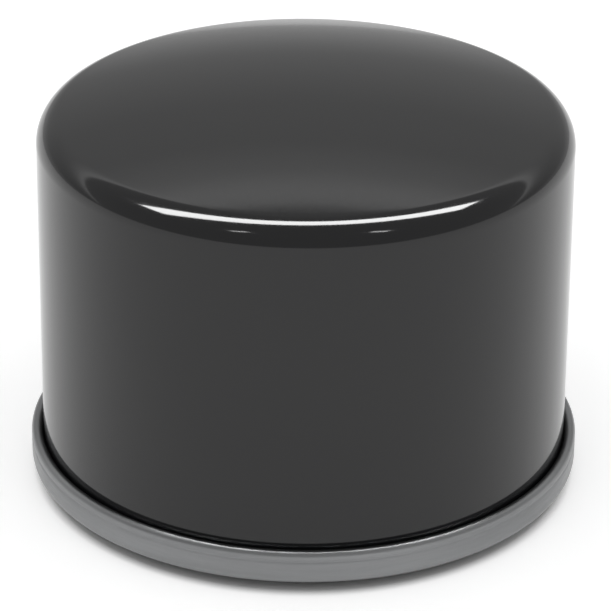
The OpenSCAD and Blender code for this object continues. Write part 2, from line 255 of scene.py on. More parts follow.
def skin(name: str, rings: Sequence[Sequence[Vector]], ends: Ends, sharp: float = 40.0) -> bpy.types.Object:
    """Covers a row of closed rings of points.

    Args:
        name: Name of the object.
        rings: Rings with the same number of points each.
        ends: How the row ends.
        sharp: Edges bent by more degrees than this stay sharp.

    Returns:
        The new piece.
    """
    mesh = bmesh.new()
    verts = [[mesh.verts.new(p) for p in ring] for ring in rings]
    others = verts[1:] + (verts[:1] if ends is Ends.JOINED else [])
    for ring, other in zip(verts, others):
        for k in range(len(ring)):
            after = (k + 1) % len(ring)
            mesh.faces.new((ring[k], ring[after], other[after], other[k]))
    if ends is Ends.CAPPED:
        mesh.faces.new(verts[0][::-1])
        mesh.faces.new(verts[-1])
    return finish_mesh(name, mesh, sharp)


def merge(name: str, placed: Iterable[tuple[bpy.types.Object, Matrix]], sharp: float = SHARP) -> bpy.types.Object:
    """Joins pieces into one object, and removes the ones it was made from.

    Args:
        name: Name of the object.
        placed: Each piece with where it goes. A piece may come more than once.
        sharp: Edges bent by more degrees than this stay sharp.

    Returns:
        The joined piece.
    """
    placed = list(placed)
    mesh = bmesh.new()
    for piece, where in placed:
        data = piece.data.copy()
        data.transform(where)
        mesh.from_mesh(data)
        bpy.data.meshes.remove(data)
    for piece in {id(p): p for p, _ in placed}.values():
        bpy.data.objects.remove(piece)
    return finish_mesh(name, mesh, sharp)


def ring_of(piece: bpy.types.Object, radius: float, count: int, start: float = 0.0) -> bpy.types.Object:
    """Repeats a piece evenly round the axis, as one object.

    Args:
        piece: The piece, built about the axis.
        radius: Distance of each copy from the axis.
        count: Number of copies.
        start: Angle of the first copy in radians.

    Returns:
        The joined copies.
    """
    shift = Matrix.Translation((radius, 0, 0))
    turns = (Matrix.Rotation(start + TURN * i / count, 4, "Z") for i in range(count))
    return merge(piece.name, [(piece, turn @ shift) for turn in turns])


def cut(target: bpy.types.Object, cutter: bpy.types.Object, sharp: float = SHARP) -> None:
    """Takes a cutter away from a piece, and then removes the cutter.

    Args:
        target: The piece that is cut.
        cutter: Closed shape, or several that don't touch one another.
        sharp: Edges bent by more degrees than this stay sharp afterwards.
    """
    step = target.modifiers.new("cut", "BOOLEAN")
    step.operation = "DIFFERENCE"
    step.solver = "EXACT"
    step.object = cutter
    bpy.context.view_layer.update()
    cut_piece = target.evaluated_get(bpy.context.evaluated_depsgraph_get())
    data = bpy.data.meshes.new_from_object(cut_piece)
    target.modifiers.clear()
    old, target.data = target.data, data
    bpy.data.meshes.remove(old)
    data.name = target.name
    bpy.data.objects.remove(cutter)
    shade(data, sharp)


# ---------------------------------------------------------------- finishes


def linear(code: str) -> tuple[float, float, float, float]:
    """Linear RGBA of an sRGB hex code such as "8A8B8C"."""
    parts = (int(code[i : i + 2], 16) / 255 for i in (0, 2, 4))
    return (*(c / 12.92 if c <= 0.04045 else ((c + 0.055) / 1.055) ** 2.4 for c in parts), 1.0)


def add_node(tree: bpy.types.NodeTree, kind: str, inputs: dict | None = None, **settings) -> bpy.types.Node:
    """Adds a node with its settings and links.

    Args:
        tree: The tree it goes in.
        kind: Blender's name for the node type, such as "ShaderNodeBump".
        inputs: Input name or number, to a value, or to the output socket that feeds it.
        settings: Properties of the node.

    Returns:
        The node.
    """
    node = tree.nodes.new(kind)
    for key, value in settings.items():
        setattr(node, key, value)
    for key, value in (inputs or {}).items():
        if isinstance(value, bpy.types.NodeSocket):
            tree.links.new(value, node.inputs[key])
        else:
            node.inputs[key].default_value = value
    return node


class Grain(Enum):
    """Which way a surface's marks run."""

    EVEN = "even"
    ROUND_THE_AXIS = "round the axis"
    ALONG_THE_AXIS = "along the axis"


@dataclass(frozen=True)
class Finish:
    """A real material and how its surface was made.

    All lengths here are in millimetres. Cloudy patches lie `patch` apart and mix in `mottle` of the second
    colour. Fine marks lie `mark` apart, `mark_depth` deep, and are `stretch` times longer than wide where the
    grain has a direction. Roughness goes from its first value to its second over the marks.
    """

    name: str
    colour: str
    second_colour: str
    metallic: float
    roughness: tuple[float, float]
    grain: Grain
    patch: float
    mark: float
    mark_depth: float
    stretch: float = 14.0
    mottle: float = 0.5
    specular: float = 0.5
    ior: float = 1.5

    def position(self, tree: bpy.types.NodeTree) -> bpy.types.NodeSocket:
        """Place on the object in millimetres, drawn out along the grain.

        Args:
            tree: The material's node tree.

        Returns:
            The socket that the patterns read.
        """
        place = add_node(tree, "ShaderNodeTexCoord").outputs["Object"]
        in_mm = add_node(tree, "ShaderNodeVectorMath", {0: place, 1: (1000, 1000, 1000)}, operation="MULTIPLY")
        if self.grain is Grain.EVEN:
            return in_mm.outputs[0]
        if self.grain is Grain.ALONG_THE_AXIS:
            drawn = (1, 1, 1 / self.stretch)
            return add_node(
                tree, "ShaderNodeVectorMath", {0: in_mm.outputs[0], 1: drawn}, operation="MULTIPLY"
            ).outputs[0]
        parts = add_node(tree, "ShaderNodeSeparateXYZ", {0: in_mm.outputs[0]})
        flat = add_node(tree, "ShaderNodeCombineXYZ", {"X": parts.outputs["X"], "Y": parts.outputs["Y"]})
        radius = add_node(tree, "ShaderNodeVectorMath", {0: flat.outputs[0]}, operation="LENGTH")
        short = add_node(
            tree, "ShaderNodeVectorMath",
            {0: flat.outputs[0], 1: (1 / self.stretch, 1 / self.stretch, 0)}, operation="MULTIPLY",
        )
        across = add_node(
            tree, "ShaderNodeCombineXYZ", {"X": radius.outputs["Value"], "Z": parts.outputs["Z"]}
        )
        return add_node(
            tree, "ShaderNodeVectorMath", {0: short.outputs[0], 1: across.outputs[0]}, operation="ADD"
        ).outputs[0]

    def detail(self, tree: bpy.types.NodeTree, place: bpy.types.NodeSocket) -> bpy.types.NodeSocket | None:
        """Relief of a particular finish, on top of the common marks.

        Args:
            tree: The material's node tree.
            place: Place on the object in millimetres.

        Returns:
            A normal that the marks' bump builds on, or nothing.
        """
        return None

    def material(self) -> bpy.types.Material:
        """The finish as a material, built once and then shared.

        Returns:
            The material.
        """
        made = bpy.data.materials.get(self.name)
        if made:
            return made
        made = bpy.data.materials.new(self.name)
        made.use_nodes = True
        tree = made.node_tree
        tree.nodes.clear()
        shader = add_node(tree, "ShaderNodeBsdfPrincipled", {"Metallic": self.metallic})
        if not self.metallic:
            shader.inputs["IOR"].default_value = self.ior
            shader.inputs["Specular IOR Level"].default_value = self.specular
        add_node(tree, "ShaderNodeOutputMaterial", {"Surface": shader.outputs[0]})
        place = self.position(tree)
        patches = add_node(
            tree, "ShaderNodeTexNoise", {"Vector": place, "Scale": 1 / self.patch, "Detail": 4, "Roughness": 0.55}
        )
        # Noise keeps mostly between 0.3 and 0.7, so both uses stretch that part.
        core = {"From Min": 0.3, "From Max": 0.7}
        spread = add_node(
            tree, "ShaderNodeMapRange", {**core, "Value": patches.outputs["Fac"], "To Max": self.mottle}
        )
        colour = add_node(
            tree, "ShaderNodeMix",
            {"Factor": spread.outputs[0], 6: linear(self.colour), 7: linear(self.second_colour)}, data_type="RGBA",
        )
        tree.links.new(colour.outputs[2], shader.inputs["Base Color"])
        marks = add_node(
            tree, "ShaderNodeTexNoise", {"Vector": place, "Scale": 1 / self.mark, "Detail": 3, "Roughness": 0.6}
        )
        low, high = self.roughness
        gloss = add_node(
            tree, "ShaderNodeMapRange", {**core, "Value": marks.outputs["Fac"], "To Min": low, "To Max": high}
        )
        tree.links.new(gloss.outputs[0], shader.inputs["Roughness"])
        base = self.detail(tree, place)
        relief = {"Height": marks.outputs["Fac"], "Strength": 1.0, "Distance": self.mark_depth * MM}
        if base is not None:
            relief["Normal"] = base
        bump = add_node(tree, "ShaderNodeBump", relief)
        tree.links.new(bump.outputs[0], shader.inputs["Normal"])
        return made

    def dress(self, piece: bpy.types.Object) -> None:
        """Gives a piece this finish and nothing else."""
        piece.data.materials.clear()
        piece.data.materials.append(self.material())


@dataclass(frozen=True)
class BakedEnamel(Finish):
    """Sprayed and baked paint: a glassy skin with a long, very shallow orange peel."""

    peel: float = 3.2
    peel_depth: float = 0.004

    def detail(self, tree: bpy.types.NodeTree, place: bpy.types.NodeSocket) -> bpy.types.NodeSocket | None:
        """The orange peel.

        Args:
            tree: The material's node tree.
            place: Place on the object in millimetres.

        Returns:
            The peel's normal.
        """
        waves = add_node(
            tree, "ShaderNodeTexNoise", {"Vector": place, "Scale": 1 / self.peel, "Detail": 1, "Roughness": 0.4}
        )
        peel = add_node(
            tree, "ShaderNodeBump",
            {"Height": waves.outputs["Fac"], "Strength": 1.0, "Distance": self.peel_depth * MM},
        )
        return peel.outputs[0]


@dataclass(frozen=True)
class FibrousPaper(Finish):
    """Resin-soaked paper: long fibres laid every way, and pores between them."""

    pore: float = 0.5
    pore_depth: float = 0.05

    def detail(self, tree: bpy.types.NodeTree, place: bpy.types.NodeSocket) -> bpy.types.NodeSocket | None:
        """Fibres and pores.

        Args:
            tree: The material's node tree.
            place: Place on the object in millimetres.

        Returns:
            The fibres' normal.
        """
        cells = add_node(
            tree, "ShaderNodeTexVoronoi", {"Vector": place, "Scale": 1 / self.pore}, feature="DISTANCE_TO_EDGE"
        )
        fibres = add_node(
            tree, "ShaderNodeBump",
            {"Height": cells.outputs["Distance"], "Strength": 0.7, "Distance": self.pore_depth * MM},
        )
        return fibres.outputs[0]


# Baked gloss enamel on drawn sheet: nearly black, with mirror-like edges of light.
ENAMEL = BakedEnamel(
    name="black_enamel_baked_on_drawn_steel", colour="08080A", second_colour="0C0C0D", metallic=0.0,
    roughness=(0.07, 0.11), grain=Grain.EVEN, patch=9.0, mark=0.7, mark_depth=0.0006, specular=0.47,
)
# Zinc-coated strip rolled by the seaming wheels: grey satin, with fine marks round the seam.
ZINC = Finish(
    name="zinc_coated_steel_rolled_by_seaming_wheels", colour="8A8B8C", second_colour="797A7B", metallic=1.0,
    roughness=(0.3, 0.44), grain=Grain.ROUND_THE_AXIS, patch=2.4, mark=0.16, mark_depth=0.004, mottle=0.8,
)
# Bright zinc on small stamped and headed pieces: even, slightly cloudy.
BRIGHT_ZINC = Finish(
    name="bright_zinc_plate_on_stamped_steel", colour="B4B6B8", second_colour="A2A5A8", metallic=1.0,
    roughness=(0.22, 0.36), grain=Grain.EVEN, patch=3.0, mark=0.25, mark_depth=0.002,
)
# Pickled and oiled plate, punched and turned at the thread: warm grey with darker oil stains.
PLATE_STEEL = Finish(
    name="pickled_oiled_steel_plate_punched", colour="A6A5A2", second_colour="868480", metallic=1.0,
    roughness=(0.28, 0.46), grain=Grain.EVEN, patch=5.0, mark=0.35, mark_depth=0.006, mottle=0.9,
)
# Weld nuggets: heat tint from straw to blue over a small pitted face.
WELD = Finish(
    name="projection_weld_steel_heat_tinted", colour="5A5148", second_colour="3A4252", metallic=1.0,
    roughness=(0.4, 0.6), grain=Grain.EVEN, patch=0.8, mark=0.2, mark_depth=0.02, mottle=1.0,
)
# Moulded nitrile: matt black with a faint bloom and the mould's fine grain.
NITRILE = Finish(
    name="moulded_nitrile_rubber_black", colour="191919", second_colour="232322", metallic=0.0,
    roughness=(0.5, 0.68), grain=Grain.EVEN, patch=4.0, mark=0.12, mark_depth=0.004, ior=1.52, specular=0.4,
)
# Moulded valve rubber: a little browner and smoother, as it comes from a polished mould.
VALVE_RUBBER = Finish(
    name="moulded_nitrile_rubber_valve", colour="2A2320", second_colour="332A25", metallic=0.0,
    roughness=(0.38, 0.52), grain=Grain.EVEN, patch=4.0, mark=0.2, mark_depth=0.003, ior=1.52, specular=0.4,
)
# Tin-coated strip, pressed: bright, with a faint drawn streak along the axis.
TINPLATE = Finish(
    name="tinplate_pressed_from_strip", colour="BDBCB6", second_colour="A9A8A2", metallic=1.0,
    roughness=(0.2, 0.34), grain=Grain.ALONG_THE_AXIS, patch=3.0, mark=0.3, mark_depth=0.002,
)
# Plastisol poured hot and cured: brick red, smooth, with small sunk bubbles.
PLASTISOL = Finish(
    name="plastisol_adhesive_poured_and_cured", colour="8E3A2E", second_colour="7A2F26", metallic=0.0,
    roughness=(0.28, 0.44), grain=Grain.EVEN, patch=3.0, mark=0.6, mark_depth=0.03, ior=1.53,
)
# Sealing compound dried in the seam: dull grey-green.
COMPOUND = Finish(
    name="seam_compound_dried", colour="6F7A6E", second_colour="5E695E", metallic=0.0,
    roughness=(0.5, 0.7), grain=Grain.EVEN, patch=1.5, mark=0.3, mark_depth=0.01,
)
# Filter paper: straw-coloured, cured resin, fibrous and dull. Real pores are about a tenth of the size
# drawn here, which is as coarse as they need to be to show.
PAPER = FibrousPaper(
    name="filter_paper_resin_cured", colour="D8BC82", second_colour="C9A768", metallic=0.0,
    roughness=(0.75, 0.92), grain=Grain.EVEN, patch=2.5, mark=0.18, mark_depth=0.02, mottle=0.8, specular=0.25,
)
# Cold-drawn wire: draw marks along it and a thin film of oil.
WIRE = Finish(
    name="music_wire_cold_drawn", colour="8A8C90", second_colour="73757A", metallic=1.0,
    roughness=(0.24, 0.38), grain=Grain.ROUND_THE_AXIS, patch=2.0, mark=0.12, mark_depth=0.002,
)
# Hardened strip, tempered blue: dark blue-grey with straw-coloured patches.
BLUED_STRIP = Finish(
    name="spring_strip_hardened_and_blued", colour="3D4658", second_colour="4A4640", metallic=1.0,
    roughness=(0.25, 0.38), grain=Grain.EVEN, patch=6.0, mark=0.3, mark_depth=0.002, mottle=0.7,
)


# ---------------------------------------------------------------- pieces


def settle(piece: bpy.types.Object, node: str, body: str, finish: Finish) -> bpy.types.Object:
    """Gives a piece its finish and its place in the frame.

    Args:
        piece: The piece.
        node: The frame's node that it stands for.
        body: The frame's body that it moves with.
        finish: Its finish.

    Returns:
        The piece.
    """
    finish.dress(piece)
    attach(piece, body)
    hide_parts(node)
    log.info("%s for %s, on %s: %d faces", piece.name, node, body, len(piece.data.polygons))
    return piece


def keep_node(frame: dict, node: str, finish: Finish) -> None:
    """Gives a solid of the frame its finish and leaves its shape alone.

    Args:
        frame: The loaded frame.
        node: The solid's name.
        finish: Its finish.
    """
    finish.dress(frame["nodes"][node])
    log.info("%s kept in %s", node, finish.name)


# Waves round the axis that add up to an unevenness, and the height that their sum spans.
WAVES = (3, 5, 8, 13, 21)
WAVE_SPAN = 4.4


def wave(angle: float, seed: float) -> float:
    """Smooth unevenness round the axis, between 0 and 1.

    Args:
        angle: Angle round the axis in radians.
        seed: Number that sets the pattern.

    Returns:
        The height of the unevenness.
    """
    parts = (math.sin(n * angle + seed * n) / n**0.5 for n in WAVES)
    return 0.5 + sum(parts) / WAVE_SPAN


@dataclass
class Housing:
    """Can, lid, seam, base plate and gasket: all that holds pressure."""

    can_sheet: float = 0.45 * MM
    shoulder: float = 4.0 * MM
    dome_slope: float = 14.0
    drawn_depth: float = 0.012 * MM
    drawn_reach: float = 6 * MM
    lid_sheet: float = 0.55 * MM
    layer_gap: float = 0.03 * MM
    hook_short: float = 0.4 * MM
    seam_height: float = 4.9 * MM
    crease_drop: float = 1.35 * MM
    crease_width: float = 0.22 * MM
    crease_depth: float = 0.09 * MM
    chatter: float = 0.05 * MM
    lip_depth: float = 3.0 * MM
    lip_bend: float = 0.25 * MM
    lip_gap: float = 0.15 * MM
    gasket_width: float = 3.85 * MM
    plate: float = 3.0 * MM
    plate_edge: float = 0.4 * MM
    collar_edge: float = 0.6 * MM
    lead_in: float = 0.5 * MM
    pitch: float = 1.5875 * MM
    thread_major: float = 9.525 * MM
    thread_minor: float = 8.6657 * MM
    thread_length: float = 8.334 * MM
    collar: float = 11.925 * MM
    port: float = 3.3 * MM
    ports: int = 8
    weld: float = 1.5 * MM
    welds: int = 6

    def __post_init__(self) -> None:
        """Works out the seam's layers from the frame, from the outside in."""
        low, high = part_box("seaming_lid")
        self.seam_radius, self.seam_bottom = high.x, low.z
        self.seam_top = self.seam_bottom + self.seam_height
        self.lid_wall = self.seam_radius - self.lid_sheet / 2
        self.can_hook = self.seam_radius - self.lid_sheet - self.layer_gap - self.can_sheet / 2
        half_layers = (self.can_sheet + self.lid_sheet) / 2 + self.layer_gap
        self.lid_hook = self.can_hook - half_layers
        self.can_wall = self.lid_hook - half_layers
        self.chuck_wall = self.can_wall - half_layers
        self.fold = self.seam_bottom + (self.lid_sheet + self.lid_wall - self.chuck_wall) / 2
        self.top_fold = self.seam_top - (self.lid_sheet + self.lid_wall - self.lid_hook) / 2

    def build(self, frame: dict) -> None:
        """Builds every piece of the housing.

        Args:
            frame: The loaded frame.
        """
        settle(self.can(), "can", "housing", ENAMEL)
        settle(self.lid(), "seaming_lid", "housing", ZINC)
        settle(self.base_plate(), "base_plate", "housing", PLATE_STEEL)
        settle(self.gasket(), "gasket", "housing", NITRILE)
        keep_node(frame, "seam_compound", COMPOUND)
        keep_node(frame, "projection_welds", WELD)

    def can(self) -> bpy.types.Object:
        """Drawn can: dome, shoulder, wall and the hook inside the seam.

        Returns:
            The can.
        """
        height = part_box("can")[1].z
        outer = self.can_wall + self.can_sheet / 2
        slope = math.radians(self.dome_slope)
        dome = (outer - self.shoulder) / math.sin(slope) + self.shoulder
        dome_low = height - dome
        shoulder_low = dome_low + (dome - self.shoulder) * math.cos(slope)
        bend = (self.can_hook - self.can_wall) / 2
        shoulder_centre = (outer - self.shoulder, shoulder_low)
        wall = [(self.can_wall, shoulder_low + (self.fold - shoulder_low) * i / 24) for i in range(1, 24)]
        path = (
            arc((0, dome_low), dome - self.can_sheet / 2, 90, 90 - self.dome_slope, 40)
            + arc(shoulder_centre, self.shoulder - self.can_sheet / 2, 90 - self.dome_slope, 0, 28)[1:]
            + wall
            + arc((self.can_wall + bend, self.fold), bend, 180, 360, 12)
            + [(self.can_hook, self.top_fold - self.hook_short)]
        )

        def drawn(radius: float, z: float, angle: float) -> Point:
            """The slight unevenness that deep drawing leaves at the shoulder."""
            near = math.exp(-(((z - shoulder_low) / self.drawn_reach) ** 2))
            return radius - self.drawn_depth * near * wave(angle, 1.7), z

        return lathe("drawn_can", sheet(path, self.can_sheet), 256, drawn)

    def lid(self) -> bpy.types.Object:
        """Lid: gasket lip, groove and chuck wall, and the seam rolled over the can's hook.

        Returns:
            The lid.
        """
        gasket_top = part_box("gasket")[1].z
        lip = self.lip_radius()
        middle = gasket_top + self.lid_sheet / 2
        bend = self.lid_sheet / 2 + self.lip_bend
        fold = (self.lid_wall - self.chuck_wall) / 2
        top_bend = (self.lid_wall - self.lid_hook) / 2
        steps = 26
        face = [(self.lid_wall, self.fold + (self.top_fold - self.fold) * i / steps) for i in range(1, steps)]
        path = (
            [(lip, gasket_top - self.lip_depth)]
            + arc((lip + bend, middle - bend), bend, 180, 90, 8)
            + arc((self.chuck_wall - bend, middle - bend), bend, 90, 0, 8)
            + arc((self.chuck_wall + fold, self.fold), fold, 180, 360, 24)
            + face
            + arc((self.lid_wall - top_bend, self.top_fold), top_bend, 0, 180, 18)
            + [(self.lid_hook, self.fold + 0.15 * MM)]
        )
        lid = lathe("rolled_lid", sheet(path, self.lid_sheet), 256, self.rolled)
        cut(lid, self.weld_sites())
        return lid

    def rolled(self, radius: float, z: float, angle: float) -> Point:
        """The seaming roll's crease under the crown, and its chatter round the seam.

        Args:
            radius: Radius of a point of the lid.
            z: Its height.
            angle: Its angle round the axis.

        Returns:
            The point's new radius and height. Only the seam's outer face moves.
        """
        outside = min(max((radius - self.lid_wall) / (self.lid_sheet / 2), 0), 1)
        above = (z - self.seam_top + self.crease_drop) / self.crease_width
        return radius - outside * (self.crease_depth * math.exp(-(above**2)) + self.chatter * wave(angle, 0.6)), z

    def weld_sites(self) -> bpy.types.Object:
        """Where the weld nuggets sit, as one cutter through the lid and into the plate.

        Returns:
            The cutter.
        """
        low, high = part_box("projection_welds")
        under = low.z - 0.05 * MM
        site = lathe("weld_sites", [(0, under), (self.weld, under), (self.weld, high.z), (0, high.z)], 40)
        return ring_of(site, high.y - self.weld, self.welds, TURN / self.welds / 2)

    def base_plate(self) -> bpy.types.Object:
        """Punched plate whose collar carries a true right-hand thread.

        Returns:
            The plate.
        """
        low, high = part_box("base_plate")
        bottom, top, rim = low.z, high.z, high.x
        deck = bottom + self.plate
        start = top - self.lead_in - self.thread_length
        end = start + self.thread_length
        edge, collar_edge = self.plate_edge, self.collar_edge
        outer = [
            (self.thread_major + self.lead_in, bottom),
            *arc((rim - edge, bottom + edge), edge, -90, 0, 6),
            *arc((rim - edge, deck - edge), edge, 0, 90, 6),
            (self.collar, deck),
            *arc((self.collar - collar_edge, top - collar_edge), collar_edge, 0, 90, 6),
            (self.thread_minor + self.lead_in, top),
            (self.thread_minor, end),
        ]
        # One pitch of the thread: crest flat, flank, root flat, flank, as (share of pitch, share of depth).
        form = ((0, 0), (0.25, 0), (0.40625, 0.5), (0.5625, 1), (0.6875, 1), (0.84375, 0.5))
        pitches = math.ceil(self.thread_length / self.pitch) + 1
        columns = 160
        rings = []
        for column in range(columns + 1):
            angle = TURN * column / columns
            across = Vector((math.cos(angle), math.sin(angle), 0))
            rows = []
            for count in range(-1, pitches):
                for share, depth in form:
                    z = start + (count + share + column / columns) * self.pitch
                    z = min(max(z, start), end)
                    fade = min((z - start) / (0.5 * self.pitch), (end - z) / (0.5 * self.pitch), 1)
                    deep = (self.thread_major - self.thread_minor) * depth * fade
                    rows.append((self.thread_minor + deep, z))
            profile = outer + rows[::-1] + [(self.thread_minor, start)]
            rings.append([across * r + Vector((0, 0, z)) for r, z in profile])
        plate = skin("threaded_plate", rings, Ends.MEETING, 28)
        flare = self.port + 0.9 * MM
        punch = [
            (0, bottom - MM), (flare, bottom - MM), (flare, bottom - 0.01 * MM),
            *arc((self.port + edge, bottom + edge), edge, 270, 180, 6), (self.port, deck + MM), (0, deck + MM),
        ]
        ring = (self.collar + self.lip_radius()) / 2
        cut(plate, ring_of(lathe("ports", punch, 64), ring, self.ports))
        cut(plate, self.weld_sites(), 28)
        return plate

    def lip_radius(self) -> float:
        """Middle of the lid's inner lip."""
        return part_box("gasket")[1].x - self.gasket_width - self.lip_gap - self.lid_sheet / 2

    def gasket(self) -> bpy.types.Object:
        """Moulded ring with soft corners and the mould's parting line half way up.

        Returns:
            The gasket.
        """
        low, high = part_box("gasket")
        outer, inner, top = high.x, high.x - self.gasket_width, high.z
        flash, proud, soft = 0.12 * MM, 0.06 * MM, 0.5 * MM
        middle = top / 2
        outline = rounded([
            (inner + proud, low.z, soft), (outer - proud, low.z, soft),
            (outer - proud, middle - flash, 0), (outer, middle, 0), (outer - proud, middle + flash, 0),
            (outer - proud, top, soft), (inner + proud, top, soft),
            (inner + proud, middle + flash, 0), (inner, middle, 0), (inner + proud, middle - flash, 0),
        ])
        return lathe("moulded_gasket", outline, 256, sharp=50)


@dataclass
class DrainbackValve:
    """Rubber valve on the collar: a fixed sleeve and foot, and a skirt that lifts off the ports."""

    bore: float = 11.975 * MM
    sleeve: float = 1.5 * MM
    foot: float = 3.4 * MM
    root: float = 0.9 * MM
    seat: float = 4.6 * MM
    skirt: float = 1.0 * MM
    lift: float = 1.2 * MM
    hinge_gap: float = 0.02 * MM

    def __post_init__(self) -> None:
        """Takes the valve's place from the frame."""
        low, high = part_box("drainback_valve")
        self.deck, self.top, self.lip = low.z, high.z, high.x
        self.shoulder = self.deck + self.seat
        self.under = self.shoulder - self.skirt
        self.hinge = self.bore + self.foot + self.root

    def build(self) -> None:
        """Builds the sleeve and the skirt, and lets the skirt's lip lift."""
        settle(self.fixed_sleeve(), "drainback_valve", "housing", VALVE_RUBBER)
        skirt = settle(self.lifting_skirt(), "drainback_valve", "drainback_flap", VALVE_RUBBER)
        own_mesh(skirt)

    def fixed_sleeve(self) -> bpy.types.Object:
        """Sleeve that grips the collar, and the foot that it stands on.

        Returns:
            The sleeve.
        """
        inner, foot, sleeve = self.bore, self.bore + self.foot, self.bore + self.sleeve
        hinge, shoulder = self.hinge, self.shoulder
        outline = rounded([
            (inner, self.deck, 0.1 * MM), (foot, self.deck, 0.3 * MM), (foot, self.under - 0.9 * MM, 0.5 * MM),
            (hinge, self.under - 0.3 * MM, 0), (hinge, shoulder - 0.1 * MM, 0),
            (hinge - 0.3 * MM, shoulder, 0.1 * MM), (sleeve, shoulder, 0.25 * MM),
            (sleeve, self.top, 0.4 * MM), (inner, self.top, 0.1 * MM),
        ])
        return lathe("valve_sleeve", outline, 160)

    def lifting_skirt(self) -> bpy.types.Object:
        """Skirt that slopes down to a thin lip on the plate, a hair clear of the sleeve.

        Returns:
            The skirt.
        """
        free, lip, deck = self.hinge + self.hinge_gap, self.lip, self.deck
        outline = rounded([
            (free, self.under - 0.3 * MM, 0), (lip - 1.1 * MM, deck + 0.25 * MM, 0.3 * MM),
            (lip - 0.9 * MM, deck, 0.1 * MM), (lip - 0.2 * MM, deck, 0.12 * MM), (lip, deck + 0.2 * MM, 0.1 * MM),
            (lip - 0.1 * MM, deck + 0.25 * MM + 0.8 * self.skirt, 0.3 * MM),
            (self.hinge + 0.5 * MM, self.shoulder - 0.2 * MM, 0), (free, self.shoulder - 0.1 * MM, 0),
        ])
        return lathe("valve_skirt", outline, 160)


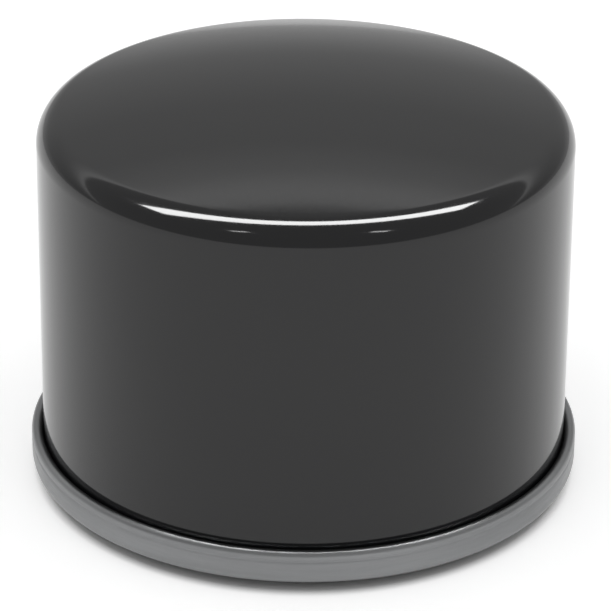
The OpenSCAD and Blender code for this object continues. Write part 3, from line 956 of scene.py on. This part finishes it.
@dataclass
class Element:
    """Pleated paper bonded between two end caps round a perforated tube."""

    cap_sheet: float = 0.45 * MM
    cap_bend: float = 0.8 * MM
    cap_rim: float = 3.0 * MM
    neck: float = 3.0 * MM
    neck_radius: float = 13.8 * MM
    bypass_port: float = 7.4 * MM
    bead: float = 0.4 * MM
    bead_inset: float = 1.2 * MM
    potting_bore: float = 14.75 * MM
    potting_hollow: float = 0.14 * MM
    potting_wave: float = 0.05 * MM
    paper: float = 0.6 * MM
    fold: float = 0.9 * MM
    inner_fold: float = 0.72 * MM
    inner_radius: float = 15.5 * MM
    pleats: int = 48
    emboss: float = 0.05 * MM
    emboss_rows: float = 1.5

    def build(self, frame: dict) -> None:
        """Builds the element's pieces.

        Args:
            frame: The loaded frame.
        """
        settle(self.lower_cap(), "lower_end_cap", "element", TINPLATE)
        settle(self.upper_cap(), "upper_end_cap", "element", TINPLATE)
        for node, up in (("lower_potting", 1), ("upper_potting", -1)):
            settle(self.potting(node, up), node, "element", PLASTISOL)
        settle(self.media(), "pleated_media", "element", PAPER)
        keep_node(frame, "centre_tube", TINPLATE)
        keep_node(frame, "media_clip", TINPLATE)

    def lower_cap(self) -> bpy.types.Object:
        """Lower end cap: neck, floor and rim.

        Returns:
            The cap.
        """
        low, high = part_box("lower_end_cap")
        half, bend, rim, neck = self.cap_sheet / 2, self.cap_bend, high.x, self.neck_radius
        path = (
            [(neck, low.z + self.cap_sheet + self.neck)]
            + arc((neck + bend / 2, low.z + half + bend / 2), bend / 2, 180, 270, 8)
            + arc((rim - half - bend, low.z + half + bend), bend, 270, 360, 10)
            + [(rim - half, low.z + self.cap_rim)]
        )
        return lathe("lower_cap_pressing", sheet(path, self.cap_sheet), 192)

    def upper_cap(self) -> bpy.types.Object:
        """Upper end cap: bypass port with the bead that the seal closes on, floor and rim.

        Returns:
            The cap.
        """
        low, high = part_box("upper_end_cap")
        half, bend, rim = self.cap_sheet / 2, self.cap_bend, high.x
        seat = self.bypass_port + self.bead_inset
        under, top = high.z - self.cap_sheet, high.z
        outline = (
            [(self.bypass_port, top), (self.bypass_port, under), (seat - self.bead, under)]
            + arc((seat, under), self.bead, 180, 360, 10)
            + arc((rim - half - bend, top - half - bend), bend - half, 90, 0, 8)
            + [(rim - self.cap_sheet, low.z), (rim, low.z)]
            + arc((rim - half - bend, top - half - bend), bend + half, 0, 90, 10)
        )
        return lathe("upper_cap_pressing", outline, 192)

    def potting(self, node: str, up: int) -> bpy.types.Object:
        """Ring of adhesive that has crept up between the pleats.

        Args:
            node: The frame's node it stands for.
            up: 1 where the paper stands on it, -1 where the paper hangs from it.

        Returns:
            The ring.
        """
        low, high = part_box(node)
        inner, outer = self.potting_bore, high.x
        free = high.z if up > 0 else low.z
        steps = 20
        face = [(inner + (outer - inner) * i / steps, free) for i in range(steps + 1)]
        held = low.z if up > 0 else high.z
        outline = [(inner, held), *face, (outer, held)]

        def crept(radius: float, z: float, angle: float) -> Point:
            """Hollows between the pleats, deepest half way out.

            Args:
                radius: Radius of a point of the ring.
                z: Its height.
                angle: Its angle round the axis.

            Returns:
                The point's new radius and height. Only the free face moves.
            """
            if abs(z - free) > TINY:
                return radius, z
            middle = 1 - abs((radius - inner) / (outer - inner) * 2 - 1)
            hollow = self.potting_hollow * (0.5 - 0.5 * math.cos(self.pleats * angle)) * min(middle * 3, 1)
            return radius, z - up * (hollow + self.potting_wave * wave(angle, 2.2))

        return lathe(f"{node}_ring", outline, 384, crept)

    def media(self) -> bpy.types.Object:
        """Paper folded into even pleats with round folds, lightly embossed.

        Returns:
            The paper.
        """
        low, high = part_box("pleated_media")
        half = self.paper / 2
        path: list[Vector] = []
        for pleat in range(self.pleats):
            for inward in (False, True):
                angle = TURN * (pleat + (0.5 if inward else 0)) / self.pleats
                radial = Vector((math.cos(angle), math.sin(angle)))
                tangent = Vector((-radial.y, radial.x))
                bend = (self.inner_fold if inward else self.fold) / 2
                reach = self.inner_radius + half + bend if inward else high.x - half - bend
                side = -1 if inward else 1
                for turn in range(7):
                    swing = math.radians(-90 + 30 * turn)
                    away = radial * (side * math.cos(swing)) + tangent * math.sin(swing)
                    path.append(radial * reach + away * bend)
        count = len(path)
        rows = 18
        rings = []
        for i, here in enumerate(path):
            before = (here - path[i - 1]).normalized()
            after = (path[(i + 1) % count] - here).normalized()
            normal = Vector((-before.y, before.x))
            mitre = (normal + Vector((-after.y, after.x))).normalized()
            mitre /= mitre.dot(normal)
            ring = []
            for face, order in ((half, range(rows + 1)), (-half, range(rows, -1, -1))):
                for row in order:
                    ripple = math.sin(math.pi * row / self.emboss_rows) * math.sin(math.pi * row / rows)
                    ripple *= self.emboss
                    flat = here + mitre * (face + ripple)
                    ring.append(Vector((flat.x, flat.y, low.z + (high.z - low.z) * row / rows)))
            rings.append(ring)
        return skin("folded_paper", rings, Ends.JOINED, 50)


@dataclass
class BypassValve:
    """Spring-loaded valve under the upper end cap."""

    stem: float = 1.6 * MM
    tip: float = 0.5 * MM
    head: float = 3.0 * MM
    wire: float = 1.1 * MM
    turns: float = 5.5
    end_pitch: float = 0.9
    travel: float = 3.0 * MM

    def build(self, frame: dict) -> None:
        """Builds the valve's moving pieces, its spring and its cage.

        Args:
            frame: The loaded frame.
        """
        self.ring("bypass_plate", BRIGHT_ZINC, "tinplate", 0.15 * MM)
        self.ring("bypass_seal", NITRILE, "nitrile_rubber", 0.3 * MM)
        self.ring("bypass_washer", BRIGHT_ZINC, "zinc_plate", 0.12 * MM)
        settle(self.headed_stem(), "bypass_stem", "bypass_valve", BRIGHT_ZINC)
        spring = settle(self.spring(), "bypass_spring", "element", WIRE)
        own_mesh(spring)
        keep_node(frame, "bypass_cage", BRIGHT_ZINC)

    def ring(self, node: str, finish: Finish, slot: str, soft: float) -> None:
        """Builds a flat ring with softened edges.

        Args:
            node: The frame's node it stands for.
            finish: Its finish.
            slot: The record's material slot; not used.
            soft: Radius of its edges.
        """
        low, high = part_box(node)
        outline = rounded([
            (self.stem, low.z, 0), (high.x, low.z, soft), (high.x, high.z, soft), (self.stem, high.z, 0)
        ])
        settle(lathe(f"{node}_disc", outline, 128), node, "bypass_valve", finish)

    def headed_stem(self) -> bpy.types.Object:
        """Stem with a rounded tip and a domed, upset head.

        Returns:
            The stem.
        """
        low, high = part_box("bypass_stem")
        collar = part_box("bypass_washer")[1].z
        crown = high.z - collar
        radius = (self.head**2 + crown**2) / (2 * crown)
        spread = math.degrees(math.asin(self.head / radius))
        outline = (
            [(0, low.z)]
            + arc((self.stem - self.tip, low.z + self.tip), self.tip, -90, 0, 6)
            + [(self.stem, collar)]
            + arc((0, high.z - radius), radius, 90 - spread, 90, 14)
        )
        outline[-1] = (0, high.z)
        return lathe("headed_stem", outline, 96)

    def spring(self) -> bpy.types.Object:
        """Coil spring with closed ends, as round wire swept along its helix.

        Returns:
            The spring.
        """
        low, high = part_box("bypass_spring")
        coil = high.x - self.wire / 2
        free = high.z - low.z - self.wire
        steps, sides = round(self.turns * 48), 14
        closed = 1 / self.turns
        ends = self.end_pitch * self.wire
        rings = []
        for step in range(steps + 1):
            share = step / steps
            if share < closed:
                height = ends * share / closed
            elif share > 1 - closed:
                height = free - ends * (1 - share) / closed
            else:
                height = ends + (free - 2 * ends) * (share - closed) / (1 - 2 * closed)
            turn = TURN * self.turns * share
            ring = []
            for side in range(sides):
                around = TURN * side / sides
                radius = coil + self.wire / 2 * math.cos(around)
                z = low.z + self.wire / 2 * (1 + math.sin(around)) + height
                ring.append(Vector((radius * math.cos(turn), radius * math.sin(turn), z)))
            rings.append(ring)
        return skin("coil_spring", rings, Ends.CAPPED)


@dataclass
class ElementSpring:
    """Leaf spring of blued strip: a ring on the end cap and arms against the dome."""

    strip: float = 0.6 * MM
    strip_edge: float = 0.12 * MM
    ring_inner: float = 11.4 * MM
    ring_outer: float = 15.4 * MM
    arm_start: float = 13.4 * MM
    arm_reach: float = 11.2 * MM
    arm_width: float = 7.0 * MM
    foot_bend: float = 3.0 * MM
    crest_bend: float = 4.0 * MM
    arms: int = 4
    travel: float = 2.0 * MM

    def build(self) -> None:
        """Builds the spring; on the real filter it shortens as the element rises."""
        low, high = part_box("element_spring")
        ring = lathe("spring_ring", rounded([
            (self.ring_inner, low.z, 0.1 * MM), (self.ring_outer, low.z, 0.1 * MM),
            (self.ring_outer, low.z + self.strip, 0.15 * MM), (self.ring_inner, low.z + self.strip, 0.15 * MM),
        ], 3), 160)
        arm = self.arm(low.z, high.z)
        turns = [Matrix.Rotation(TURN * (i + 0.5) / self.arms, 4, "Z") for i in range(self.arms)]
        spring = merge("leaf_spring", [(ring, Matrix.Identity(4))] + [(arm, turn) for turn in turns], 35)
        settle(spring, "element_spring", "housing", BLUED_STRIP)
        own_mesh(spring)

    def arm(self, low: float, high: float) -> bpy.types.Object:
        """One arm along +X, narrowing to a round tip.

        Args:
            low: Height of the spring's underside.
            high: Height of its crests.

        Returns:
            The arm.
        """
        middle = low + self.strip / 2
        foot = Vector((self.arm_start, middle + self.foot_bend))
        crest = Vector((self.arm_start + self.arm_reach, high - self.strip / 2 - self.crest_bend))
        span = crest - foot
        rise = math.degrees(math.atan2(span.y, span.x))
        rise += math.degrees(math.asin((self.foot_bend + self.crest_bend) / span.length))
        path = (
            [(self.ring_inner + 0.5 * MM, middle)]
            + arc(tuple(foot), self.foot_bend, -90, -90 + rise, 10)
            + arc(tuple(crest), self.crest_bend, 90 + rise, 60, 24)
        )
        outline = sheet(path, self.strip)
        count = len(path)
        tip = path[-1][0]
        rings = []
        for i in range(count):
            upper, lower = outline[i], outline[2 * count - 1 - i]
            left = max(tip - path[i][0], 0) / (self.arm_width / 2)
            width = self.arm_width / 2 * math.sqrt(max(1 - (1 - min(left, 1)) ** 2, 0.04))
            flat = width - self.strip_edge
            middle_line = (Vector(upper) + Vector(lower)) / 2
            ring = []
            for face, sign in ((upper, -1), (lower, 1)):
                for side, full in ((width, 0.6), (flat, 1.0), (-flat, 1.0), (-width, 0.6)):
                    place = middle_line.lerp(Vector(face), full)
                    ring.append(Vector((place.x, sign * side, place.y)))
            rings.append(ring)
        return skin("spring_arm", rings, Ends.CAPPED)


# ---------------------------------------------------------------- studio


class Shows(Enum):
    """Where a light shows."""

    EVERYWHERE = "everywhere"
    IN_REFLECTIONS = "in reflections only"
    ON_SURFACES = "on matt surfaces only"


@dataclass(frozen=True)
class Lamp:
    """Flat rectangular light with its face towards the filter. It lights every piece, or only those named."""

    name: str
    place: tuple[float, float, float]
    size: tuple[float, float]
    radiance: float
    shows: Shows = Shows.EVERYWHERE
    turn: float = 0.0
    only_on: tuple[str, ...] = ()

    def hang(self, towards: Vector) -> None:
        """Puts the lamp in the scene.

        Args:
            towards: The point that it faces.
        """
        light = bpy.data.lights.new(self.name, "AREA")
        light.shape = "RECTANGLE"
        light.size, light.size_y = self.size
        light.energy = self.radiance * math.pi * self.size[0] * self.size[1]
        lamp = bpy.data.objects.new(self.name, light)
        lamp.location = self.place
        back = (Vector(self.place) - towards).normalized()
        across = Vector((0, 1, 0)).cross(back).normalized()
        aim = Matrix((across, back.cross(across), back)).transposed()
        lamp.rotation_euler = (aim @ Matrix.Rotation(math.radians(self.turn), 3, "Z")).to_euler()
        lamp.visible_diffuse = self.shows is not Shows.IN_REFLECTIONS
        lamp.visible_glossy = self.shows is not Shows.ON_SURFACES
        if self.only_on:
            lit = bpy.data.collections.new(f"{self.name}_lights")
            for piece in self.only_on:
                lit.objects.link(bpy.data.objects[piece])
            lamp.light_linking.receiver_collection = lit
        bpy.context.scene.collection.objects.link(lamp)


@dataclass
class Studio:
    """Pale floor, soft light and the camera."""

    elevation: float = 26.415
    distance: float = 506 * MM
    look_at: float = 23.94 * MM
    lens: float = 215.54
    roll: float = 0.471
    shift: float = 0.0015
    floor_radius: float = 2.2
    floor_opening: float = 33 * MM
    floor_sides: int = 96
    floor_gap: float = 0.02 * MM
    # Strength of the floor's painted glow, and the radii over which it rises from nothing: a painted contact
    # shadow round the seam.
    table_glow: float = 0.36
    glow_start: tuple[float, float] = (36.4 * MM, 38.0 * MM)
    # A long strip nearly overhead draws the line of light on the shoulder, and shows weakly on the metal.
    # Two soft boxes light matt surfaces, and one shines up through the floor's opening at the base.
    lamps: tuple[Lamp, ...] = (
        Lamp("overhead_strip", (-0.02, 0.0, 0.62), (1.05, 0.16), 20.0, Shows.IN_REFLECTIONS, 8.0, ("drawn_can",)),
        Lamp("strip_glow", (-0.02, 0.0, 0.63), (1.05, 0.16), 1.3, Shows.IN_REFLECTIONS, 8.0),
        Lamp("soft_box", (0, -0.45, 1.25), (2.4, 1.6), 0.8, Shows.ON_SURFACES),
        Lamp("base_lamp", (0.3, -0.2, -0.45), (0.5, 0.25), 6.0),
        Lamp("left_lamp", (-0.38, -0.63, 0.73), (0.12, 0.04), 12.0, Shows.IN_REFLECTIONS, 0.0, ("drawn_can",)),
        Lamp("right_lamp", (0.43, -0.6, 0.73), (0.12, 0.04), 14.0, Shows.IN_REFLECTIONS, 0.0, ("drawn_can",)),
    )
    # Radiance of the surroundings against the angle up from the far horizon, over the top and down in front.
    surroundings: tuple[tuple[float, float], ...] = (
        (0, 0.6), (12, 0.46), (28, 0.54), (38, 0.68), (44, 0.95), (48, 1.4), (50.5, 1.45), (52, 0.55), (180, 0.52),
    )

    def build(self) -> None:
        """Sets up floor, light and camera."""
        self.floor()
        self.sky()
        for lamp in self.lamps:
            lamp.hang(Vector((0, 0, self.look_at)))
        self.camera()
        bpy.context.scene.view_settings.view_transform = "Standard"

    def floor(self) -> None:
        """Wide pale table top with a painted glow and a painted contact shadow round the filter, open under the
        gasket and clear from below to show the base.
        """
        mesh = bmesh.new()
        steps = [TURN * i / self.floor_sides for i in range(self.floor_sides)]
        edges = [
            [mesh.verts.new((radius * math.cos(a), radius * math.sin(a), 0)) for a in steps]
            for radius in (self.floor_opening, self.floor_radius)
        ]
        for i in range(self.floor_sides):
            mesh.faces.new((edges[0][i - 1], edges[1][i - 1], edges[1][i], edges[0][i]))
        floor = finish_mesh("floor", mesh)
        if floor.data.polygons[0].normal.z < 0:
            floor.data.flip_normals()
        floor.location.z = -self.floor_gap
        floor.data.materials.append(self.opal_glass())

    def opal_glass(self) -> bpy.types.Material:
        """White top whose painted glow rises from nothing a little inside the seam's edge to full further out, so
        painting a narrow contact shadow round the filter; clear from below.

        Returns:
            The table top's material.
        """
        glass = bpy.data.materials.new("opal_glass_lit_from_below")
        glass.use_nodes = True
        tree = glass.node_tree
        tree.nodes.clear()
        place = add_node(tree, "ShaderNodeTexCoord").outputs["Object"]
        reach = add_node(tree, "ShaderNodeVectorMath", {0: place}, operation="LENGTH").outputs["Value"]
        # Painted light: the glow is zero under the seam's edge and full a little further out, which paints the
        # contact shadow on the floor.
        near, far = self.glow_start
        glow = add_node(
            tree, "ShaderNodeMapRange",
            {"Value": reach, "From Min": near, "From Max": far, "To Max": self.table_glow},
        )
        white = add_node(
            tree, "ShaderNodeBsdfPrincipled",
            {
                "Base Color": linear("F4F4F4"), "Roughness": 0.9, "Specular IOR Level": 0.1,
                "Emission Color": linear("FFFFFF"), "Emission Strength": glow.outputs[0],
            },
        )
        clear = add_node(tree, "ShaderNodeBsdfTransparent")
        side = add_node(tree, "ShaderNodeNewGeometry").outputs["Backfacing"]
        both = add_node(tree, "ShaderNodeMixShader", {0: side, 1: white.outputs[0], 2: clear.outputs[0]})
        add_node(tree, "ShaderNodeOutputMaterial", {"Surface": both.outputs[0]})
        return glass

    def sky(self) -> None:
        """Even surroundings with one lit band behind, high up, as of a bounced light."""
        world = bpy.data.worlds.new("surroundings")
        world.use_nodes = True
        tree = world.node_tree
        tree.nodes.clear()
        way = add_node(tree, "ShaderNodeTexCoord").outputs["Generated"]
        parts = add_node(tree, "ShaderNodeSeparateXYZ", {0: way})
        angle = add_node(
            tree, "ShaderNodeMath", {0: parts.outputs["Z"], 1: parts.outputs["Y"]}, operation="ARCTAN2"
        )
        share = add_node(tree, "ShaderNodeMath", {0: angle.outputs[0], 1: 1 / math.pi}, operation="MULTIPLY")
        ramp = add_node(tree, "ShaderNodeValToRGB", {"Fac": share.outputs[0]})
        stops = ramp.color_ramp.elements
        brightest = max(radiance for _, radiance in self.surroundings)
        while len(stops) < len(self.surroundings):
            stops.new(1.0)
        for stop, (degrees, radiance) in zip(stops, self.surroundings):
            stop.position = degrees / 180
            stop.color = (*[radiance / brightest] * 3, 1)
        light = add_node(tree, "ShaderNodeBackground", {"Color": ramp.outputs[0], "Strength": brightest})
        add_node(tree, "ShaderNodeOutputWorld", {"Surface": light.outputs[0]})
        bpy.context.scene.world = world

    def camera(self) -> None:
        """Long lens, a little above the filter."""
        tilt = math.radians(self.elevation)
        back = Vector((0, -math.cos(tilt), math.sin(tilt)))
        data = bpy.data.cameras.new("camera")
        data.lens = self.lens
        data.shift_x = self.shift
        camera = bpy.data.objects.new("camera", data)
        camera.location = Vector((0, 0, self.look_at)) + back * self.distance
        aim = (-back).to_track_quat("-Z", "Y").to_matrix().to_4x4()
        camera.rotation_euler = (aim @ Matrix.Rotation(math.radians(self.roll), 4, "Z")).to_euler()
        bpy.context.scene.collection.objects.link(camera)
        bpy.context.scene.camera = camera


def corners(box: tuple[Vector, Vector]) -> list[list[float]]:
    """A box's two corners as plain lists."""
    return [list(corner) for corner in box]


def main() -> None:
    """Loads the frame and builds every sub-assembly in order."""
    logging.basicConfig(level=logging.INFO, format="%(message)s")
    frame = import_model()
    Housing().build(frame)
    DrainbackValve().build()
    Element().build(frame)
    BypassValve().build(frame)
    ElementSpring().build()
    Studio().build()


if __name__ == "__main__":
    main()
